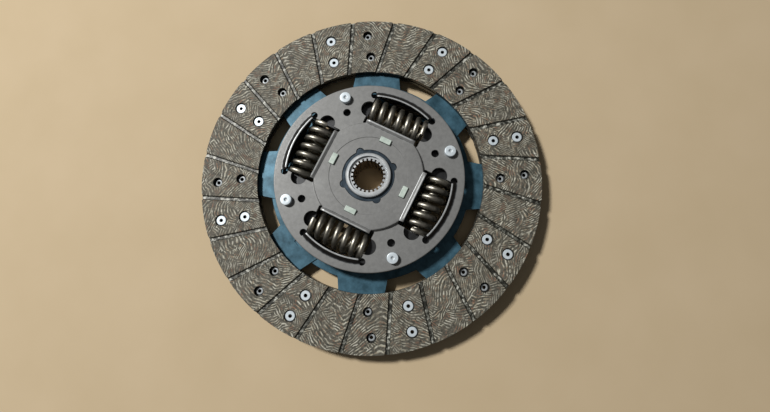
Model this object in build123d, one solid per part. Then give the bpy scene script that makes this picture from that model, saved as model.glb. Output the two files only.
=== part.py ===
"""Clutch disc with a sprung hub: two riveted friction facings on wavy spring steel segments,
a drive plate and a cover plate that carry four coil springs, and a splined hub whose flange
turns a few degrees between them. Millimetres, +Z along the hub towards the cover plate,
origin on the axis at the hub's rear end, spring windows on the X and Y axes."""

from build123d import *
import os
from math import asin, atan, cos, degrees, pi, radians, sin, sqrt, tan

# ---------------------------------------------------------------- friction facings
FACING_OUTER_R = 120.0
FACING_INNER_R = 80.0
FACING_THICK = 3.5
PAD_COUNT = 24  # pads between the radial-looking grooves
GROOVE_WIDTH = 3.6
GROOVE_DEPTH = 1.2
GROOVE_OFFSET = 20.0  # every groove is tangent to a circle of this radius
GROOVE_PHASE = 3.2  # degrees from the segment's centre line to the first groove

# ---------------------------------------------------------------- facing rivets
INNER_ROW_MARGIN = 11.8  # from the facing's inner rim to the inner circle of rivets
OUTER_ROW_MARGIN = 11.4  # from the outer circle of rivets to the facing's outer rim
RIVET_SPREAD = 13.8  # distance of each rivet from its segment's centre line
RIVET_HEAD_R = 3.4
RIVET_HEAD_THICK = 0.9
RIVET_SHANK_R = 2.2
RIVET_TAIL = 0.9  # how far the closed end stands out past the segment
RIVET_POCKET_R = 4.2  # counterbore over a head
CLEARANCE_R = 3.4  # hole over a tail of the other facing's rivets
RIVET_POCKET_DEPTH = 1.6
RIVET_SIDES = 6  # flats that stand in for the round of each small repeated rivet and its hole

# ---------------------------------------------------------------- cushion segments
SEGMENT_COUNT = 8
SEGMENT_THICK = 0.8
SEGMENT_RISE = 0.8  # height of the wave that cushions the facings
SEGMENT_INNER_R = 62.5
SEGMENT_GAP = 1.6  # between neighbouring paddles
SEGMENT_EDGE = 1.5  # the paddle ends this far inside the facing's rims
NECK_BASE_WIDTH = 36.5
NECK_TIP_WIDTH = 31.0
PADDLE_LEAN = 12.2  # degrees from the neck's centre to the paddle's centre
WAVE_START = 6.0  # distance of the wave's ramp from the paddle's centre line
WAVE_RUN = 3.5
SEGMENT_RIVET_MARGIN = 2.1  # from the neck's inner rim to its rivets
SEGMENT_RIVET_ANGLE = 12.0  # degrees each side of the neck's centre
SEGMENT_RIVET_R = 1.8
SEGMENT_RIVET_HEAD_R = 2.8
SEGMENT_RIVET_HEAD_THICK = 1.0
LOCATING_HOLE_DEPTH = 2.4
LOCATING_HOLE_WIDTH = 4.0
LOCATING_HOLE_MARGIN = 5.1  # from the neck's inner rim to its locating hole
NECK_SEAT = 9.0  # how far the neck lies on the drive plate

# ---------------------------------------------------------------- drive plate and cover plate
PLATE_THICK = 2.5
PLATE_SPACING = 10.4  # between the inner faces of the two plates
COVER_R = 66.0
DOME_R = 37.4
DOME_RISE = 2.5
DOME_SLOPE = 1.0  # how far the dome's wall leans over its rise
DOME_WALL = 1.8
PLATE_BORE_R = 18.1
LIP_ROOT = 1.8  # how far the inner lips run back into the plate
LIP_FOOT = 3.1  # width of the outer lips where they leave the plate
LIP_EDGE = 1.1  # width of both lips at their top
INNER_LIP_LEAN = 3.0
OUTER_LIP_LEAN = 1.4
INNER_LIP_HEIGHT = 3.7  # above the plate's outer face
OUTER_LIP_HEIGHT = 2.8
WINDOW_INNER_MARGIN = 3.1  # from the spring to the window's inner edge
WINDOW_OUTER_MARGIN = 2.5  # from the spring to the window's outer arc
NOTCH_R = 5.6  # rounded notch in each window end
NOTCH_DEPTH = 6.0
NOTCH_INSET = 2.1  # from the spring's axis inwards to the notch
RELIEF_R = 2.5  # cut beyond each end of an outer lip
RELIEF_OVERHANG = 1.3  # from the lip's end to the middle of that cut
RELIEF_SIDES = 8
TOOLING_HOLE_R = 2.7
TOOLING_HOLE_CIRCLE = 48.4

# ---------------------------------------------------------------- damper springs
SPRING_COUNT = 4
SPRING_CIRCLE_R = 45.5
SPRING_R = 10.0
SPRING_LENGTH = 42.0
SPRING_WIRE = 3.9
SPRING_TURNS = 7
SPRING_SIDES = 8  # straight lengths of wire in one turn
INNER_SPRING_R = 4.2
INNER_SPRING_WIRE = 1.9
INNER_SPRING_TURNS = 10
INNER_SPRING_SIDES = 6

# ---------------------------------------------------------------- splined hub
HUB_LENGTH = 25.0
HUB_R = 15.5
FLANGE_MID_Z = 13.5
FLANGE_THICK = 6.0
FLANGE_R = 61.2
FLANGE_WINDOW_GAP = 0.3  # round the springs, except at their ends
SPLINE_TEETH = 24
SPLINE_MAJOR_R = 11.9
SPLINE_MINOR_R = 10.4
SPLINE_SPACE_SHARE = 0.5  # share of a pitch that is space at the major radius
SPLINE_FLANK_DRAFT = 0.72  # width of a space at the tips over its width at the root
HUB_COUNTERBORE_R = 13.3
HUB_COUNTERBORE_DEPTH = 1.6
HUB_CHAMFER = 0.4

# ---------------------------------------------------------------- stop pins
PIN_CIRCLE_R = 58.4
PIN_BODY_R = 4.4
PIN_NECK_R = 3.1
PIN_HEAD_R = 3.8
PIN_HEAD_THICK = 3.1
PIN_SIDES = 12  # flats that stand in for the round of each pin and each small hole
DRIVE_TRAVEL = 12.0  # degrees that the hub turns one way before it meets the pins
COAST_TRAVEL = 7.5  # and the other way
STOP_GAP = 0.3  # left between pin and notch at the end of the travel

# ---------------------------------------------------------------- friction washers and bushes
RUNNING_GAP = 0.05
BUSH_WALL = 2.45
REAR_BUSH_PROUD = 0.4  # the rear bush stands this far out of its plate's dome
FRONT_BUSH_SUNK = 0.9  # the front bush ends this far below the top of its plate's dome
EAR_WIDTH = 5.4
EAR_R = 20.2
EAR_GAP = 0.2
WASHER_OUTER_R = 31.0
LUG_WASHER_THICK = 1.7
LUG_CIRCLE_R = 26.7
LUG_WIDTH = 7.9
LUG_DEPTH = 3.7
LUG_PROUD = 1.1  # the lugs stand this far out of the cover's dome
CONE_SPRING_GAP = 0.45  # between the cone spring and the lugs round it
CONE_SPRING_BORE_GAP = 1.0  # between the cone spring and the bush inside it
CONE_SPRING_THICK = 1.0
CONE_SPRING_SIDES = 24  # flats that stand in for its round, which lies inside the cover
REAR_WASHER_THICK = 1.6
REAR_BUSH_FLANGE_R = 29.0

# ---------------------------------------------------------------- worked out from the above
RIVET_ROWS = (FACING_INNER_R + INNER_ROW_MARGIN, FACING_OUTER_R - OUTER_ROW_MARGIN)
SEGMENT_RIVET_CIRCLE = SEGMENT_INNER_R + SEGMENT_RIVET_MARGIN
DRIVE_PLATE_R = SEGMENT_INNER_R + NECK_SEAT
SEGMENT_PITCH = 360 / SEGMENT_COUNT
NECK_ANGLE = SEGMENT_PITCH / 2  # the first neck, halfway between window and arm
PADDLE_ANGLE = NECK_ANGLE + PADDLE_LEAN
WINDOW_PITCH = 360 / SPRING_COUNT
ARM_ANGLE = WINDOW_PITCH / 2  # between two windows
PIN_ANGLE = ARM_ANGLE - (DRIVE_TRAVEL - COAST_TRAVEL) / 2
DRIVE_INNER_Z = FLANGE_MID_Z - PLATE_SPACING / 2
COVER_INNER_Z = FLANGE_MID_Z + PLATE_SPACING / 2
FLANGE_REAR_Z = FLANGE_MID_Z - FLANGE_THICK / 2
FLANGE_FRONT_Z = FLANGE_MID_Z + FLANGE_THICK / 2
SEGMENT_Z = DRIVE_INNER_Z
REAR_FACING_BACK_Z = SEGMENT_Z
FRONT_FACING_BACK_Z = SEGMENT_Z + SEGMENT_THICK + SEGMENT_RISE
FACING_MID_Z = (REAR_FACING_BACK_Z + FRONT_FACING_BACK_Z) / 2
WINDOW_INNER_X = SPRING_CIRCLE_R - SPRING_R - WINDOW_INNER_MARGIN
WINDOW_OUTER_R = SPRING_CIRCLE_R + SPRING_R + WINDOW_OUTER_MARGIN
BUSH_INNER_R = HUB_R + RUNNING_GAP
BUSH_OUTER_R = BUSH_INNER_R + BUSH_WALL
CONE_SPRING_OUTER_R = LUG_CIRCLE_R - LUG_DEPTH / 2 - CONE_SPRING_GAP
CONE_SPRING_INNER_R = BUSH_OUTER_R + CONE_SPRING_BORE_GAP
THROUGH = 60.0  # length of a tool that cuts right through


def ring(outer_r, inner_r, height, base_z):
    """A flat ring standing on base_z."""
    return Pos(0, 0, base_z) * extrude(Circle(outer_r) - Circle(inner_r), height)


def small_round(radius, height, base_z, sides=RIVET_SIDES):
    """A small repeated round, with few sides, standing on base_z."""
    return Pos(0, 0, base_z) * extrude(RegularPolygon(radius, sides), height)


def through_hole(radius, sides=RIVET_SIDES):
    return small_round(radius, THROUGH, -THROUGH / 2, sides)


def around(count, first_angle, solid):
    """Copies of a solid turned about the Z axis."""
    return [Rot(0, 0, first_angle + 360 / count * i) * solid for i in range(count)]


def wedge(half_angle, reach):
    """A triangle with its point on the axis, to cut a sector about +X."""
    half_width = reach * tan(radians(half_angle))
    return make_face(Polyline((0, 0), (reach, -half_width), (reach, half_width), close=True))


# ---------------------------------------------------------------- friction side
def rivet_places(side):
    """Where one segment's rivets stand, in its paddle's frame: side is +1 for the rivets
    of the front facing and -1 for those of the rear facing."""
    return [Pos(sqrt(row**2 - RIVET_SPREAD**2), side * RIVET_SPREAD, 0) for row in RIVET_ROWS]


def facing():
    """One facing with its back on z = 0 and its first paddle's centre line on +X."""
    bar = extrude(Rectangle(FACING_OUTER_R, GROOVE_WIDTH, align=(Align.MIN, Align.CENTER)), -GROOVE_DEPTH)
    grooves = around(PAD_COUNT, GROOVE_PHASE, Pos(0, GROOVE_OFFSET, FACING_THICK) * bar)
    pocket = small_round(RIVET_POCKET_R, RIVET_POCKET_DEPTH, FACING_THICK - RIVET_POCKET_DEPTH)
    own = pocket + small_round(RIVET_SHANK_R, FACING_THICK, 0)
    clearance = small_round(CLEARANCE_R, FACING_THICK, 0)
    holes = []
    for place in rivet_places(1):
        holes += around(SEGMENT_COUNT, 0, place * own)
    for place in rivet_places(-1):
        holes += around(SEGMENT_COUNT, 0, place * clearance)
    return ring(FACING_OUTER_R, FACING_INNER_R, FACING_THICK, 0) - grooves - holes


def place_front(solid):
    """From the facing's own frame to the front of the segments."""
    return Pos(0, 0, FRONT_FACING_BACK_Z) * Rot(0, 0, PADDLE_ANGLE) * solid


def place_rear(solid):
    """The same turned over about the paddle's centre line, behind the segments."""
    return Pos(0, 0, REAR_FACING_BACK_Z) * Rot(0, 0, PADDLE_ANGLE) * Rot(180, 0, 0) * solid


def facing_rivets():
    """The rivets of one facing, in the facing's own frame."""
    head_base = FACING_THICK - RIVET_POCKET_DEPTH
    tail_end = -SEGMENT_THICK - RIVET_TAIL
    head = small_round(RIVET_HEAD_R, RIVET_HEAD_THICK, head_base)
    rivet = head + small_round(RIVET_SHANK_R, head_base - tail_end, tail_end)
    solids = []
    for place in rivet_places(1):
        solids += around(SEGMENT_COUNT, 0, place * rivet)
    return Compound(children=solids)


def cushion_segment():
    """One segment with its neck on +X and its flat part on z = 0."""
    half_paddle = SEGMENT_PITCH / 2 - degrees(SEGMENT_GAP / 2 / FACING_OUTER_R)
    paddle_inner_r = FACING_INNER_R + SEGMENT_EDGE
    paddle_outer_r = FACING_OUTER_R - SEGMENT_EDGE
    sector = wedge(half_paddle, FACING_OUTER_R)
    paddle = Rot(0, 0, PADDLE_LEAN) * ((Circle(paddle_outer_r) - Circle(paddle_inner_r)) & sector)
    neck_end = paddle_inner_r + SEGMENT_EDGE
    neck = make_face(Polyline(
        (SEGMENT_INNER_R / 2, -NECK_BASE_WIDTH / 2),
        (SEGMENT_INNER_R, -NECK_BASE_WIDTH / 2),
        (neck_end, -NECK_TIP_WIDTH / 2),
        (neck_end, NECK_TIP_WIDTH / 2),
        (SEGMENT_INNER_R, NECK_BASE_WIDTH / 2),
        (SEGMENT_INNER_R / 2, NECK_BASE_WIDTH / 2),
        close=True,
    )) - Circle(SEGMENT_INNER_R)
    outline = extrude(neck + paddle, SEGMENT_RISE + SEGMENT_THICK)
    low, high = 0, SEGMENT_RISE
    wave_end = WAVE_START + WAVE_RUN
    side = FACING_OUTER_R
    wave = Plane.YZ * make_face(Polyline(
        (-side, low),
        (WAVE_START, low),
        (wave_end, high),
        (side, high),
        (side, high + SEGMENT_THICK),
        (wave_end, high + SEGMENT_THICK),
        (WAVE_START, low + SEGMENT_THICK),
        (-side, low + SEGMENT_THICK),
        close=True,
    ))
    sheet = Rot(0, 0, PADDLE_LEAN) * extrude(wave, FACING_OUTER_R)
    holes = [
        Rot(0, 0, PADDLE_LEAN) * place * through_hole(RIVET_SHANK_R)
        for side_sign in (1, -1)
        for place in rivet_places(side_sign)
    ]
    holes += [
        Rot(0, 0, angle) * Pos(SEGMENT_RIVET_CIRCLE, 0, 0) * through_hole(SEGMENT_RIVET_R)
        for angle in (-SEGMENT_RIVET_ANGLE, SEGMENT_RIVET_ANGLE)
    ]
    locating_hole = Box(LOCATING_HOLE_DEPTH, LOCATING_HOLE_WIDTH, THROUGH)
    holes.append(Pos(SEGMENT_INNER_R + LOCATING_HOLE_MARGIN, 0, 0) * locating_hole)
    return (outline & sheet) - holes


def segment_rivets():
    """The rivets that hold the segments' necks to the drive plate."""
    top = SEGMENT_Z + SEGMENT_THICK
    bottom = DRIVE_INNER_Z - PLATE_THICK - SEGMENT_RIVET_HEAD_THICK
    rivet = small_round(SEGMENT_RIVET_R, top - bottom, bottom)
    rivet += small_round(SEGMENT_RIVET_HEAD_R, SEGMENT_RIVET_HEAD_THICK, top)
    rivet += small_round(SEGMENT_RIVET_HEAD_R, SEGMENT_RIVET_HEAD_THICK, bottom)
    solids = []
    for angle in (-SEGMENT_RIVET_ANGLE, SEGMENT_RIVET_ANGLE):
        solids += around(SEGMENT_COUNT, NECK_ANGLE + angle, Pos(SEGMENT_RIVET_CIRCLE, 0, 0) * rivet)
    return Compound(children=solids)


# ---------------------------------------------------------------- pressed plates
def pressed_plate(outer_r):
    """A plate with a raised dome and four lipped spring windows, its inner face on z = 0."""
    dome_top = DOME_RISE + PLATE_THICK
    section = Plane.XZ * make_face(Polyline(
        (PLATE_BORE_R, DOME_RISE),
        (DOME_R - DOME_WALL, DOME_RISE),
        (DOME_R - DOME_WALL + DOME_SLOPE, 0),
        (outer_r, 0),
        (outer_r, PLATE_THICK),
        (DOME_R + DOME_SLOPE, PLATE_THICK),
        (DOME_R, dome_top),
        (PLATE_BORE_R, dome_top),
        close=True,
    ))
    plate = revolve(section, Axis.Z)
    half_length = SPRING_LENGTH / 2
    lip_angle = degrees(asin(half_length / WINDOW_OUTER_R))
    window = (Pos(WINDOW_INNER_X, 0, 0) * Rectangle(
        outer_r, SPRING_LENGTH, align=(Align.MIN, Align.CENTER)
    )) & Circle(WINDOW_OUTER_R)
    relief_r = WINDOW_OUTER_R + LIP_FOOT - RELIEF_R
    relief_angle = degrees(asin((half_length + RELIEF_OVERHANG) / relief_r))
    for side in (-1, 1):
        notch_y = side * (half_length + NOTCH_DEPTH - NOTCH_R)
        window += Pos(SPRING_CIRCLE_R - NOTCH_INSET, notch_y, 0) * Circle(NOTCH_R)
        relief = RegularPolygon(RELIEF_R, RELIEF_SIDES)
        window += Rot(0, 0, side * relief_angle) * Pos(relief_r, 0, 0) * relief
    plate -= around(SPRING_COUNT, 0, extrude(window, THROUGH / 2, both=True))
    tooling_hole = Pos(TOOLING_HOLE_CIRCLE, 0, 0) * through_hole(TOOLING_HOLE_R, PIN_SIDES)
    plate -= around(SPRING_COUNT, ARM_ANGLE, tooling_hole)
    inner_edge_x = WINDOW_INNER_X + INNER_LIP_LEAN
    inner_lip = Plane.XZ * make_face(Polyline(
        (WINDOW_INNER_X - LIP_ROOT, DOME_RISE),
        (WINDOW_INNER_X, DOME_RISE),
        (inner_edge_x, PLATE_THICK + INNER_LIP_HEIGHT),
        (inner_edge_x - LIP_EDGE, PLATE_THICK + INNER_LIP_HEIGHT),
        (WINDOW_INNER_X, dome_top),
        (WINDOW_INNER_X - LIP_ROOT, dome_top),
        close=True,
    ))
    lip_half = sqrt(DOME_R**2 - WINDOW_INNER_X**2)
    plate += around(SPRING_COUNT, 0, extrude(inner_lip, lip_half, both=True))
    outer_edge_r = WINDOW_OUTER_R - OUTER_LIP_LEAN
    outer_lip = Plane.XZ * make_face(Polyline(
        (WINDOW_OUTER_R, 0),
        (WINDOW_OUTER_R + LIP_FOOT, 0),
        (WINDOW_OUTER_R + LIP_FOOT, PLATE_THICK),
        (outer_edge_r + LIP_EDGE, PLATE_THICK + OUTER_LIP_HEIGHT),
        (outer_edge_r, PLATE_THICK + OUTER_LIP_HEIGHT),
        close=True,
    ))
    plate += around(SPRING_COUNT, -lip_angle, revolve(outer_lip, Axis.Z, 2 * lip_angle))
    return plate


def pin_holes():
    hole = through_hole(PIN_NECK_R, PIN_SIDES)
    return around(SPRING_COUNT, PIN_ANGLE, Pos(PIN_CIRCLE_R, 0, 0) * hole)


def ear(extra, height, base_z):
    """One round-ended ear of the front bush, or its notch with extra room all round."""
    centre_x = EAR_R - EAR_WIDTH / 2
    outline = Pos(centre_x, 0, 0) * Circle(EAR_WIDTH / 2 + extra)
    outline += Rectangle(centre_x, EAR_WIDTH + 2 * extra, align=(Align.MIN, Align.CENTER))
    return Pos(0, 0, base_z) * extrude(outline, height)


def cover_plate():
    plate = Pos(0, 0, COVER_INNER_Z) * pressed_plate(COVER_R)
    plate -= pin_holes()
    plate -= around(SPRING_COUNT, ARM_ANGLE, ear(EAR_GAP, PLATE_THICK, COVER_INNER_Z + DOME_RISE))
    slot = Box(LUG_DEPTH + 2 * EAR_GAP, LUG_WIDTH + 2 * EAR_GAP, THROUGH)
    plate -= around(SPRING_COUNT, 0, Pos(LUG_CIRCLE_R, 0, COVER_INNER_Z) * slot)
    return plate


def drive_plate():
    plate = Pos(0, 0, DRIVE_INNER_Z) * Rot(180, 0, 0) * pressed_plate(DRIVE_PLATE_R)
    plate -= pin_holes()
    for angle in (-SEGMENT_RIVET_ANGLE, SEGMENT_RIVET_ANGLE):
        hole = Pos(SEGMENT_RIVET_CIRCLE, 0, 0) * through_hole(SEGMENT_RIVET_R)
        plate -= around(SEGMENT_COUNT, NECK_ANGLE + angle, hole)
    return plate


def stop_pins():
    """Shouldered pins that hold the plates apart and stop the flange."""
    low = DRIVE_INNER_Z - PLATE_THICK
    high = COVER_INNER_Z + PLATE_THICK
    pin = small_round(PIN_BODY_R, PLATE_SPACING, DRIVE_INNER_Z, PIN_SIDES)
    pin += small_round(PIN_NECK_R, high - low, low, PIN_SIDES)
    pin += small_round(PIN_HEAD_R, PIN_HEAD_THICK, high, PIN_SIDES)
    pin += small_round(PIN_HEAD_R, PIN_HEAD_THICK, low - PIN_HEAD_THICK, PIN_SIDES)
    return Compound(children=around(SPRING_COUNT, PIN_ANGLE, Pos(PIN_CIRCLE_R, 0, 0) * pin))


# ---------------------------------------------------------------- springs
def coil_spring(outer_r, wire, turns, sides):
    """An open coil with ground ends, its axis on Z from 0 to SPRING_LENGTH. The wire is
    square with the section of the round wire, wound in straight lengths with mitred bends."""
    side = wire * sqrt(pi) / 2
    coil_r = outer_r - side / sqrt(2) / cos(pi / sides)
    steps = turns * sides
    points = []
    for i in range(-1, steps + 2):
        turn = radians(360 / sides * i)
        points.append((coil_r * cos(turn), coil_r * sin(turn), SPRING_LENGTH * i / steps))
    path = Polyline(*points)
    section = Plane(origin=path @ 0, x_dir=(0, 0, 1), z_dir=path % 0) * Rectangle(side, side)
    coil = sweep(section, path=path, transition=Transition.RIGHT)
    room = Box(4 * outer_r, 4 * outer_r, SPRING_LENGTH, align=(Align.CENTER, Align.CENTER, Align.MIN))
    return coil & room


def in_window(index, spring):
    """A spring laid along its window, square to the window's radius."""
    laid = Rot(-90, 0, 0) * Pos(0, 0, -SPRING_LENGTH / 2) * spring
    return Rot(0, 0, WINDOW_PITCH * index) * Pos(SPRING_CIRCLE_R, 0, FLANGE_MID_Z) * laid


# ---------------------------------------------------------------- hub
def splined_hub():
    """Hub sleeve with an internal spline and a flange with spring windows and stop notches."""
    hub = Pos(0, 0, HUB_LENGTH / 2) * Cylinder(HUB_R, HUB_LENGTH)
    hub = chamfer(hub.edges().filter_by(GeomType.CIRCLE), HUB_CHAMFER)
    flange = Pos(0, 0, FLANGE_MID_Z) * Cylinder(FLANGE_R, FLANGE_THICK)
    inner_x = SPRING_CIRCLE_R - SPRING_R - FLANGE_WINDOW_GAP
    window_depth = 2 * (SPRING_R + FLANGE_WINDOW_GAP)
    window = Box(window_depth, SPRING_LENGTH, THROUGH, align=(Align.MIN, Align.CENTER, Align.CENTER))
    flange -= around(SPRING_COUNT, 0, Pos(inner_x, 0, 0) * window)
    flange -= around(SPRING_COUNT, ARM_ANGLE, stop_notch())
    hub += flange
    hub -= Pos(0, 0, HUB_LENGTH / 2) * Cylinder(SPLINE_MINOR_R, THROUGH)
    counterbore = Cylinder(HUB_COUNTERBORE_R, 2 * HUB_COUNTERBORE_DEPTH)
    hub -= [counterbore, Pos(0, 0, HUB_LENGTH) * counterbore]
    return hub - around(SPLINE_TEETH, 0, spline_space())


def stop_notch():
    """The notch that a stop pin moves in, on +X: an arc-shaped slot open to the rim."""
    half = (DRIVE_TRAVEL + COAST_TRAVEL) / 2
    radius = PIN_BODY_R + STOP_GAP
    slot = SlotArc(CenterArc((0, 0), PIN_CIRCLE_R, -half, 2 * half), 2 * radius)
    mouth_half = half + degrees(2 * asin(radius / 2 / PIN_CIRCLE_R))
    mouth = (Circle(FLANGE_R + radius) - Circle(PIN_CIRCLE_R)) & wedge(mouth_half, 2 * FLANGE_R)
    return extrude(slot + mouth, THROUGH / 2, both=True)


def spline_space():
    """One tooth space of the spline, on +X, widening from the tooth tips to the root."""
    root_width = 2 * pi * SPLINE_MAJOR_R / SPLINE_TEETH * SPLINE_SPACE_SHARE
    tip_width = root_width * SPLINE_FLANK_DRAFT
    start = SPLINE_MINOR_R / 2
    profile = make_face(Polyline(
        (start, -tip_width / 2),
        (SPLINE_MINOR_R, -tip_width / 2),
        (SPLINE_MAJOR_R, -root_width / 2),
        (SPLINE_MAJOR_R, root_width / 2),
        (SPLINE_MINOR_R, tip_width / 2),
        (start, tip_width / 2),
        close=True,
    ))
    return extrude(profile, HUB_LENGTH)


# ---------------------------------------------------------------- washers and bushes
def front_bush():
    """Bush between hub and cover, kept from turning by four ears in the cover's bore."""
    ear_base = COVER_INNER_Z + DOME_RISE
    top = ear_base + PLATE_THICK - FRONT_BUSH_SUNK
    base = FLANGE_FRONT_Z + RUNNING_GAP
    bush = ring(BUSH_OUTER_R, BUSH_INNER_R, top - base, base)
    bore = Cylinder(BUSH_INNER_R, THROUGH * 2)
    return bush + [e - bore for e in around(SPRING_COUNT, ARM_ANGLE, ear(0, top - ear_base, ear_base))]


def lug_washer():
    """Friction washer on the flange, driven by four lugs that come up through the cover."""
    base = FLANGE_FRONT_Z + RUNNING_GAP
    lug_top = COVER_INNER_Z + DOME_RISE + PLATE_THICK + LUG_PROUD
    washer = ring(WASHER_OUTER_R, BUSH_OUTER_R + EAR_GAP, LUG_WASHER_THICK, base)
    lug = Box(LUG_DEPTH, LUG_WIDTH, lug_top - base, align=(Align.CENTER, Align.CENTER, Align.MIN))
    return washer + around(SPRING_COUNT, 0, Pos(LUG_CIRCLE_R, 0, base) * lug)


def cone_spring():
    """Conical spring that presses the lug washer on the flange from the cover's dome."""
    low = FLANGE_FRONT_Z + RUNNING_GAP + LUG_WASHER_THICK
    rise = COVER_INNER_Z + DOME_RISE - CONE_SPRING_THICK - low
    rim = RegularPolygon(CONE_SPRING_OUTER_R, CONE_SPRING_SIDES)
    bore = RegularPolygon(CONE_SPRING_INNER_R, CONE_SPRING_SIDES)
    lean = degrees(atan((CONE_SPRING_OUTER_R - CONE_SPRING_INNER_R) / rise))
    cone = extrude(rim, rise, taper=lean)
    raised = extrude(rim, CONE_SPRING_THICK) + Pos(0, 0, CONE_SPRING_THICK) * cone
    return Pos(0, 0, low) * (raised - cone - extrude(bore, THROUGH))


def rear_friction_washer():
    top = FLANGE_REAR_Z - RUNNING_GAP
    return ring(WASHER_OUTER_R, BUSH_OUTER_R + EAR_GAP, REAR_WASHER_THICK, top - REAR_WASHER_THICK)


def rear_bush():
    """Bush between hub and drive plate, with a flange that carries the rear washer."""
    flange_top = FLANGE_REAR_Z - RUNNING_GAP - REAR_WASHER_THICK
    dome_inner = DRIVE_INNER_Z - DOME_RISE
    dome_outer = dome_inner - PLATE_THICK
    tube_base = dome_outer - REAR_BUSH_PROUD
    tube = ring(BUSH_OUTER_R, BUSH_INNER_R, flange_top - tube_base, tube_base)
    return tube + ring(REAR_BUSH_FLANGE_R, BUSH_INNER_R, flange_top - dome_inner, dome_inner)


def build_nodes():
    nodes = {
        "front_facing": place_front(facing()),
        "rear_facing": place_rear(facing()),
        "front_facing_rivets": place_front(facing_rivets()),
        "rear_facing_rivets": place_rear(facing_rivets()),
        "segment_rivets": segment_rivets(),
        "drive_plate": drive_plate(),
        "cover_plate": cover_plate(),
        "stop_pins": stop_pins(),
        "splined_hub": splined_hub(),
        "front_bush": front_bush(),
        "lug_washer": lug_washer(),
        "cone_spring": cone_spring(),
        "rear_friction_washer": rear_friction_washer(),
        "rear_bush": rear_bush(),
    }
    segment = Pos(0, 0, SEGMENT_Z) * cushion_segment()
    for i, turned in enumerate(around(SEGMENT_COUNT, NECK_ANGLE, segment)):
        nodes[f"cushion_segment_{i + 1}"] = turned
    outer_spring = coil_spring(SPRING_R, SPRING_WIRE, SPRING_TURNS, SPRING_SIDES)
    inner_spring = coil_spring(INNER_SPRING_R, INNER_SPRING_WIRE, INNER_SPRING_TURNS, INNER_SPRING_SIDES)
    for i in range(SPRING_COUNT):
        nodes[f"damper_spring_{i + 1}"] = in_window(i, outer_spring)
        if i % 2:
            nodes[f"inner_spring_{i + 1}"] = in_window(i, inner_spring)
    return nodes


if __name__ == "__main__":
    os.makedirs("parts", exist_ok=True)
    for name, shape in build_nodes().items():
        export_step(shape, f"parts/{name}.step")
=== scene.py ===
"""Looks of a clutch disc with a sprung hub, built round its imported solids.
Dimensions are in millimetres until piece() turns a finished mesh to metres."""

from math import asin, degrees, pi, radians, sin, sqrt

import bmesh
import bpy
from mathutils import Matrix, Vector


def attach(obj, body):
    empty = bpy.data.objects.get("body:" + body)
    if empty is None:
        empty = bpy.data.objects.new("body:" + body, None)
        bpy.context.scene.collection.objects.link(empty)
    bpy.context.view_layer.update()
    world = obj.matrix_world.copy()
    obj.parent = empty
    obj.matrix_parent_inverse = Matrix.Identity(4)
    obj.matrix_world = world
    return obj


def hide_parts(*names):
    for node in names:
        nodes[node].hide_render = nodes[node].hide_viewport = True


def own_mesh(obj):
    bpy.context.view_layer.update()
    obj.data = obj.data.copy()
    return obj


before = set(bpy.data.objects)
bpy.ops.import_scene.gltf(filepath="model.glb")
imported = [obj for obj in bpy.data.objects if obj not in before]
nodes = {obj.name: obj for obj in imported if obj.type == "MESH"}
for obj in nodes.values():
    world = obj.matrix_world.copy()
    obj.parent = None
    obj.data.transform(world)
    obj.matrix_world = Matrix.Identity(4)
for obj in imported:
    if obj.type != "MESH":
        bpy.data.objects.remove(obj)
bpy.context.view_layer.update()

MM = 0.001

# ---------------------------------------------------------------- dimensions
# They are the part's own, unless their comment says otherwise.
FACING_INNER_R, FACING_OUTER_R, FACING_THICK = 80.0, 120.0, 3.5
PAD_COUNT = 24
GROOVE_WIDTH, GROOVE_DEPTH = 3.6, 1.2
GROOVE_OFFSET = 20.0  # every groove is tangent to a circle of this radius
GROOVE_PHASE = 3.2
SEGMENT_COUNT = 8
SEGMENT_THICK, SEGMENT_RISE = 0.8, 0.8
NECK_ANGLE = 22.5  # centre line of the first segment's neck
PADDLE_ANGLE = NECK_ANGLE + 12.2  # its paddle leans this far from the neck
RIVET_ROWS = (91.8, 108.6)
RIVET_SPREAD = 13.8
RIVET_HEAD_R, RIVET_HEAD_THICK, RIVET_SHANK_R = 3.4, 0.9, 2.2
RIVET_BORE_R = 1.1  # only here: the part's rivets are solid
POCKET_R, POCKET_DEPTH, CLEARANCE_R = 4.2, 1.6, 3.4
SEGMENT_RIVET_CIRCLE, SEGMENT_RIVET_ANGLE = 64.6, 12.0
SEGMENT_RIVET_R, SEGMENT_RIVET_HEAD_R = 1.8, 2.8
PLATE_THICK = 2.5
COVER_R, DRIVE_PLATE_R = 66.0, 71.5
DOME_R, DOME_RISE, DOME_SLOPE, DOME_WALL = 37.4, 2.5, 1.0, 1.8
PLATE_BORE_R = 18.1
WINDOW_INNER_X, WINDOW_OUTER_R = 32.4, 58.0
LIP_ROOT, LIP_FOOT, LIP_EDGE = 1.8, 3.1, 1.1
INNER_LIP_LEAN, INNER_LIP_HEIGHT = 3.0, 3.7
OUTER_LIP_LEAN, OUTER_LIP_HEIGHT = 1.4, 2.8
NOTCH_X, NOTCH_R, NOTCH_DEPTH = 43.4, 5.6, 6.0
RELIEF_R, RELIEF_OVERHANG = 2.5, 1.3
TOOLING_HOLE_R, TOOLING_HOLE_CIRCLE = 2.7, 48.4
SPRING_CIRCLE_R, SPRING_LENGTH = 45.5, 42.0
SPRING_R, SPRING_WIRE = 10.0, 3.9
SPRING_TURNS = 6.5  # half a turn fewer than in the part, whose springs have no closed ends
INNER_SPRING_R, INNER_SPRING_WIRE, INNER_SPRING_TURNS = 4.2, 1.9, 10
PIN_CIRCLE_R, PIN_ANGLE = 58.4, 42.75
PIN_BODY_R, PIN_NECK_R, PIN_HEAD_R, PIN_HEAD_THICK = 4.4, 3.1, 3.8, 3.1
DRIVE_INNER_Z, COVER_INNER_Z, FLANGE_MID_Z = 8.3, 18.7, 13.5
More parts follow.
